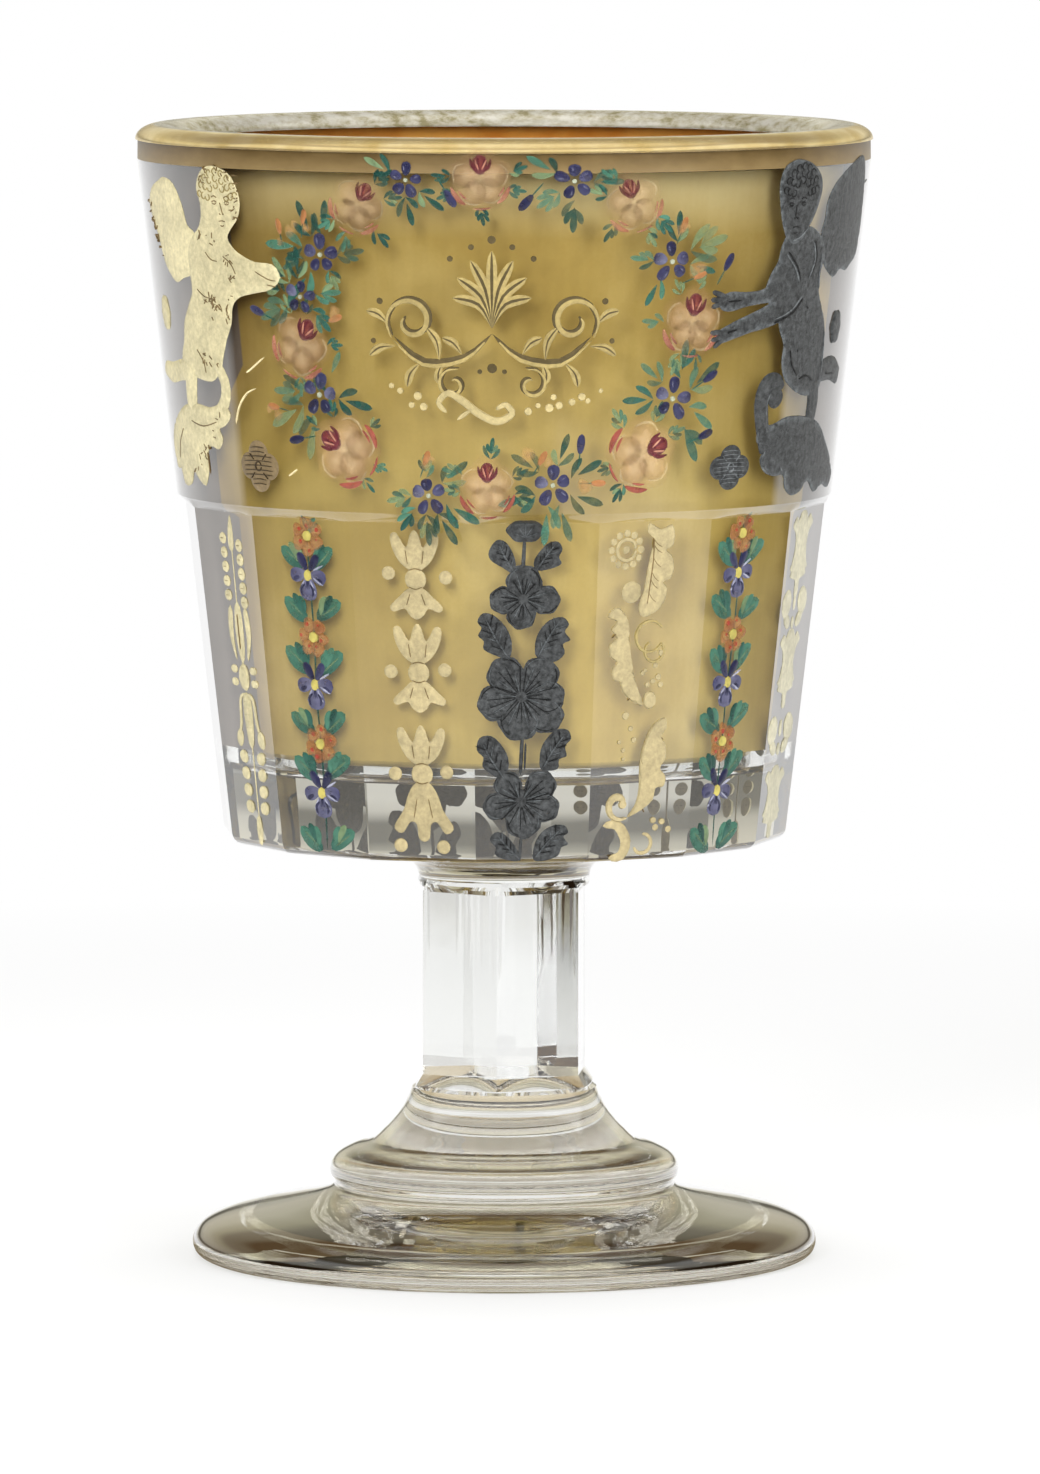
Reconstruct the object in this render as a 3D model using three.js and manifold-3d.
// Double-walled goblet: a gilded glass beaker sealed inside a clear glass jacket, on a cut stem and foot.
// Millimetres, +Z up, origin at the centre of the resting ring under the foot. The front faces -Y.
import * as THREE from 'three';
import { mergeVertices } from 'three/addons/utils/BufferGeometryUtils.js';
import Module from 'manifold-3d';

const wasm = await Module();
wasm.setup();

// Foot
const FOOT_RADIUS = 38.6;
const FOOT_RING_RADIUS = 37.6;        // outer edge of the flat ring that it rests on
const FOOT_RING_WIDTH = 6;
const FOOT_HOLLOW = 0.9;              // how far the ground hollow under the foot rises
const FOOT_EDGE_HEIGHT = 1.5;         // height of the widest part of the rounded edge
const FOOT_SHOULDER_RADIUS = 34.6;    // where the rounded edge runs into the sloping top
const FOOT_SHOULDER_HEIGHT = 5.1;
const FOOT_HEIGHT = 8.5;              // seat of the knop

// Knop: a broad rounded disc, a smaller step and a flare up to the stem
const KNOP_RADIUS = 21.6;
const KNOP_DISC_HEIGHT = 4.7;
const KNOP_UNDERCUT = 0.4;            // how much narrower the disc is at its seat
const KNOP_BELLY_HEIGHT = 1.9;        // height of the disc's widest part above its seat
const KNOP_ROUNDING = 3.8;            // how far in the disc's rounded edge reaches
const KNOP_STEP_RADIUS = 15.3;
const KNOP_STEP_RISE = 1.7;           // height of the step above the disc
const KNOP_STEP_FILLET = 0.5;         // hollow corner between the disc and the step
const KNOP_STEP_ROUNDING = 1.3;
const KNOP_NECK_RADIUS = 10.3;
const KNOP_HEIGHT = 13.9;

// Stem: six flat facets
const STEM_SIDES = 6;
const STEM_CORNER_RADIUS = 11.1;
const STEM_LENGTH = 23.6;
const STEM_TURN = -4.6;               // degrees of its front corner from straight ahead
const STEM_TAPER = 2;                 // length at each end over which its corners fade into the round
const STEM_BLANK_MARGIN = 0.1;        // of the round blank past the corners cut from it

// Collar between the stem and the bowl
const COLLAR_NECK_RADIUS = 10.3;
const COLLAR_RADIUS = 12;
const COLLAR_HEIGHT = 3.6;

// Bowl jacket
const BOWL_BULGE = 2.3;               // how far the underside sinks from its corner to the collar
const BOWL_BOTTOM_RADIUS = 35.35;     // of the round wall, before its facets are cut
const BOWL_TOP_RADIUS = 45.1;
const BOWL_CORNER = 1.4;              // rounded corner round the underside
const FACET_COUNT = 16;
const FACET_TURN = -5.6;              // degrees of one facet edge from straight ahead
const FACET_CUT = 0.6;                // depth of the facets' edges below the round wall
const FACET_HEIGHT = 41.7;            // from the underside's corner to the top of the facets
const FACET_RUNOUT = 1.2;             // height over which the facets run out into the round wall
const MASK_MARGIN = 4;                // how far a cutting shape reaches past what it keeps whole
const ROUND_HEIGHT = 42.2;            // plain round wall above the facets
const JACKET_WALL = 3;
const BASE_THICKNESS = 11.3;          // solid glass under the gilded beaker

// Liner, leaf, cement and gilding
const CLEARANCE = 0.3;                // between one curved layer and the next
const LEAF_THICKNESS = 0.3;
const LINER_WALL = 1.5;
const LINER_FLOOR = 2;
const LINER_CORNER = 3;
const CEMENT_HEIGHT = 2.4;
const LIP_HEIGHT = 1.8;               // gilded bead of the rim
const GILDING_THICKNESS = 0.3;
const GILDING_DEPTH = 2;              // how far the gilding reaches down inside the rim

const SEGMENTS = 48;

// Heights of the seams, from the table up
const knopBase = FOOT_HEIGHT;
const stemBase = knopBase + KNOP_HEIGHT;
const collarBase = stemBase + STEM_LENGTH;
const bowlBase = collarBase + COLLAR_HEIGHT;
const bowlCorner = bowlBase + BOWL_BULGE;
const facetTop = bowlCorner + FACET_HEIGHT;
const jacketTop = facetTop + ROUND_HEIGHT;
const cavityFloor = bowlCorner + BASE_THICKNESS;
const lipBase = jacketTop + CEMENT_HEIGHT;
const rimTop = lipBase + LIP_HEIGHT;

const WALL_SLOPE = (BOWL_TOP_RADIUS - BOWL_BOTTOM_RADIUS) / (jacketTop - bowlCorner);
const wallRadius = (z) => BOWL_BOTTOM_RADIUS + WALL_SLOPE * (z - bowlCorner);

// Depths of the layers behind the round outer wall
const leafDepth = JACKET_WALL + CLEARANCE;
const linerDepth = leafDepth + LEAF_THICKNESS + CLEARANCE;
const drinkDepth = linerDepth + LINER_WALL;
const leafFloor = cavityFloor + CLEARANCE;
const linerFloor = leafFloor + LEAF_THICKNESS + CLEARANCE;
const drinkFloor = linerFloor + LINER_FLOOR;

// A quarter of an ellipse from one profile point to the next: steep first when `upright` is true.
function arc(from, to, upright, steps = 3) {
  const points = [];
  for (let i = 1; i <= steps; i += 1) {
    const angle = (Math.PI / 2) * (i / steps);
    const slow = 1 - Math.cos(angle);
    const fast = Math.sin(angle);
    const [across, along] = upright ? [slow, fast] : [fast, slow];
    points.push([from[0] + (to[0] - from[0]) * across, from[1] + (to[1] - from[1]) * along]);
  }
  return points;
}

// A closed geometry as a solid, with its shared vertices merged and its faces turned outwards.
function toSolid(geometry) {
  const bare = geometry.clone();
  bare.deleteAttribute('normal');
  bare.deleteAttribute('uv');
  const merged = mergeVertices(bare, 1e-4);
  const position = merged.getAttribute('position');
  const index = merged.getIndex().array;
  const triangles = [];
  let volume = 0;
  const [a, b, c] = [new THREE.Vector3(), new THREE.Vector3(), new THREE.Vector3()];
  for (let i = 0; i < index.length; i += 3) {
    const [p, q, r] = [index[i], index[i + 1], index[i + 2]];
    if (p !== q && q !== r && r !== p) {
      triangles.push(p, q, r);
      a.fromBufferAttribute(position, p);
      b.fromBufferAttribute(position, q);
      c.fromBufferAttribute(position, r);
      volume += a.dot(b.cross(c)) / 6;
    }
  }
  if (volume < 0) triangles.reverse();
  return new wasm.Manifold(new wasm.Mesh({
    numProp: 3,
    vertProperties: new Float32Array(position.array),
    triVerts: new Uint32Array(triangles),
  }));
}

function toGeometry(solid) {
  const { vertProperties, triVerts } = solid.getMesh();
  const geometry = new THREE.BufferGeometry();
  geometry.setAttribute('position', new THREE.BufferAttribute(vertProperties, 3));
  geometry.setIndex(new THREE.BufferAttribute(triVerts, 1));
  geometry.computeVertexNormals();
  return geometry;
}

// A profile of [radius, height] points turned about the goblet's axis.
function turned(profile) {
  const points = profile.map(([radius, height]) => new THREE.Vector2(radius, height));
  return toSolid(new THREE.LatheGeometry(points, SEGMENTS).rotateX(Math.PI / 2));
}

// A profile that closes on itself, for a ring.
const turnedRing = (profile) => turned([...profile, profile[0]]);

// A straight prism or frustum with flat sides, its first corner `turn` degrees from the front.
function prism(sides, bottomRadius, topRadius, bottom, top, turn) {
  const angle = THREE.MathUtils.degToRad(turn);
  const shape = new THREE.CylinderGeometry(topRadius, bottomRadius, top - bottom, sides, 1, false, angle);
  shape.rotateX(Math.PI / 2).translate(0, 0, (bottom + top) / 2);
  return toSolid(shape);
}

const clearGlass = { color: 0xdfe3dc, roughness: 0.03, metalness: 0, transparent: true, opacity: 0.45 };
const goldLeaf = { color: 0xc8ad63, roughness: 0.3, metalness: 1 };
const rimGold = { color: 0xd8bf86, roughness: 0.2, metalness: 1 };
const cement = { color: 0x7d5a2c, roughness: 0.5, metalness: 0 };

const goblet = new THREE.Group();

function add(name, solid, look) {
  const mesh = new THREE.Mesh(toGeometry(solid), new THREE.MeshStandardMaterial(look));
  mesh.name = name;
  goblet.add(mesh);
}

// The foot rests on a flat ring, is ground slightly hollow inside it, and slopes up from a rounded edge.
function foot() {
  const ringInside = FOOT_RING_RADIUS - FOOT_RING_WIDTH;
  const seatRadius = KNOP_RADIUS;
  const edge = [FOOT_RADIUS, FOOT_EDGE_HEIGHT];
  const shoulder = [FOOT_SHOULDER_RADIUS, FOOT_SHOULDER_HEIGHT];
  return turned([
    [0, FOOT_HOLLOW],
    [ringInside - FOOT_HOLLOW, FOOT_HOLLOW],
    [ringInside, 0],
    [FOOT_RING_RADIUS, 0],
    edge,
    ...arc(edge, shoulder, true, 4),
    [seatRadius, FOOT_HEIGHT],
    [0, FOOT_HEIGHT],
  ]);
}

// The knop's disc has a fully rounded edge; its step is rounded outside and sweeps into the flare.
function knop() {
  const disc = knopBase + KNOP_DISC_HEIGHT;
  const seat = [KNOP_RADIUS - KNOP_UNDERCUT, knopBase];
  const belly = [KNOP_RADIUS, knopBase + KNOP_BELLY_HEIGHT];
  const discEdge = [KNOP_RADIUS - KNOP_ROUNDING, disc];
  const stepFoot = [KNOP_STEP_RADIUS, disc + KNOP_STEP_FILLET];
  const flareFoot = [KNOP_STEP_RADIUS - KNOP_STEP_ROUNDING, disc + KNOP_STEP_RISE];
  return turned([
    [0, knopBase],
    seat,
    ...arc(seat, belly, false, 2),
    ...arc(belly, discEdge, true, 4),
    [KNOP_STEP_RADIUS + KNOP_STEP_FILLET, disc],
    stepFoot,
    ...arc(stepFoot, flareFoot, true, 3),
    ...arc(flareFoot, [KNOP_NECK_RADIUS, stemBase], false, 5),
    [0, stemBase],
  ]);
}

// The stem is a hexagonal prism whose corners are rounded down to the knop and the collar at its ends.
function stem() {
  const facets = prism(STEM_SIDES, STEM_CORNER_RADIUS, STEM_CORNER_RADIUS, stemBase, collarBase, STEM_TURN);
  const waist = STEM_CORNER_RADIUS + STEM_BLANK_MARGIN;
  const round = turned([
    [0, stemBase],
    [KNOP_NECK_RADIUS, stemBase],
    [waist, stemBase + STEM_TAPER],
    [waist, collarBase - STEM_TAPER],
    [COLLAR_NECK_RADIUS, collarBase],
    [0, collarBase],
  ]);
  return facets.intersect(round);
}

const collar = () => turned([
  [0, collarBase],
  [COLLAR_NECK_RADIUS, collarBase],
  ...arc([COLLAR_NECK_RADIUS, collarBase], [COLLAR_RADIUS, bowlBase], true, 5),
  [0, bowlBase],
]);

// The jacket is a round wall with flat facets cut round its lower half, hollowed to take the beaker.
function bowlJacket() {
  const corner = [BOWL_BOTTOM_RADIUS - BOWL_CORNER, bowlCorner];
  const wallFoot = bowlCorner + BOWL_CORNER;
  const outside = turned([
    [0, bowlBase],
    [COLLAR_RADIUS, bowlBase],
    corner,
    ...arc(corner, [wallRadius(wallFoot) - FACET_CUT, wallFoot], false, 3),
    [wallRadius(wallFoot), wallFoot],
    [BOWL_TOP_RADIUS, jacketTop],
    [0, jacketTop],
  ]);
  const facets = prism(
    FACET_COUNT, wallRadius(bowlBase) - FACET_CUT, wallRadius(facetTop) - FACET_CUT,
    bowlBase, facetTop, FACET_TURN,
  );
  const runout = facetTop + FACET_RUNOUT;
  const maskRadius = BOWL_TOP_RADIUS + MASK_MARGIN;
  const bevel = prism(
    FACET_COUNT, wallRadius(facetTop) - FACET_CUT, BOWL_TOP_RADIUS + FACET_CUT, facetTop, runout, FACET_TURN,
  );
  const above = prism(SEGMENTS, maskRadius, maskRadius, runout, jacketTop, 0);
  const hollow = turned([
    [0, cavityFloor],
    [wallRadius(cavityFloor) - JACKET_WALL, cavityFloor],
    [wallRadius(lipBase) - JACKET_WALL, lipBase],
    [0, lipBase],
  ]);
  return outside.intersect(facets.add(bevel).add(above)).subtract(hollow);
}

// The beaker inside, with a lip that closes over the jacket's top edge.
function innerLiner() {
  const outside = (z) => wallRadius(z) - linerDepth;
  const inside = (z) => wallRadius(z) - drinkDepth;
  const shell = GILDING_THICKNESS + CLEARANCE;
  const lipRadius = wallRadius(lipBase) - shell;
  const crest = [(lipRadius + inside(rimTop)) / 2, rimTop - shell];
  const innerEdge = [inside(lipBase), lipBase];
  const floorEdge = [outside(linerFloor + LINER_CORNER), linerFloor + LINER_CORNER];
  const drinkEdge = [inside(drinkFloor + LINER_CORNER), drinkFloor + LINER_CORNER];
  return turned([
    [0, linerFloor],
    [floorEdge[0] - LINER_CORNER, linerFloor],
    ...arc([floorEdge[0] - LINER_CORNER, linerFloor], floorEdge, false),
    [outside(lipBase), lipBase],
    [lipRadius, lipBase],
    ...arc([lipRadius, lipBase], crest, true, 4),
    ...arc(crest, innerEdge, false, 4),
    drinkEdge,
    ...arc(drinkEdge, [drinkEdge[0] - LINER_CORNER, drinkFloor], true),
    [0, drinkFloor],
  ]);
}

// Gold leaf round the beaker's wall: a thin conical sleeve that reaches down round the floor's leaf.
function goldLeafWall() {
  const top = jacketTop;
  const bottom = leafFloor;
  const outer = (z) => wallRadius(z) - leafDepth;
  const inner = (z) => outer(z) - LEAF_THICKNESS;
  return turnedRing([[inner(bottom), bottom], [outer(bottom), bottom], [outer(top), top], [inner(top), top]]);
}

// Gold leaf under the beaker's floor: a thin disc.
function goldLeafFloor() {
  const radius = wallRadius(leafFloor) - linerDepth;
  const top = leafFloor + LEAF_THICKNESS;
  return turned([[0, leafFloor], [radius, leafFloor], [radius, top], [0, top]]);
}

// Dark cement that closes the gap between the jacket's top edge and the lip.
function cementRing() {
  const inner = (z) => wallRadius(z) - leafDepth;
  return turnedRing([
    [inner(jacketTop), jacketTop],
    [BOWL_TOP_RADIUS, jacketTop],
    [wallRadius(lipBase) - GILDING_THICKNESS, lipBase],
    [inner(lipBase), lipBase],
  ]);
}

// Gilding over the lip, outside and a little way down inside.
function rimGilding() {
  const skin = GILDING_THICKNESS;
  const shell = GILDING_THICKNESS + CLEARANCE;
  const outer = wallRadius(lipBase);
  const lipRadius = outer - shell;
  const inside = (z) => wallRadius(z) - drinkDepth;
  const depth = rimTop - GILDING_DEPTH;
  const middle = (lipRadius + inside(rimTop)) / 2;
  return turnedRing([
    [outer - skin, lipBase],
    [outer, lipBase],
    ...arc([outer, lipBase], [middle, rimTop], true, 5),
    ...arc([middle, rimTop], [inside(depth) - shell, depth], false, 5),
    [inside(depth) - shell + skin, depth],
    ...arc([inside(depth) - shell + skin, depth], [middle, rimTop - skin], true, 5),
    ...arc([middle, rimTop - skin], [outer - skin, lipBase], false, 5).slice(0, -1),
  ]);
}

add('foot', foot(), clearGlass);
add('knop', knop(), clearGlass);
add('stem', stem(), clearGlass);
add('collar', collar(), clearGlass);
add('bowl_jacket', bowlJacket(), clearGlass);
add('inner_liner', innerLiner(), clearGlass);
add('gold_leaf_wall', goldLeafWall(), goldLeaf);
add('gold_leaf_floor', goldLeafFloor(), goldLeaf);
add('cement_ring', cementRing(), cement);
add('rim_gilding', rimGilding(), rimGold);

export default goblet;
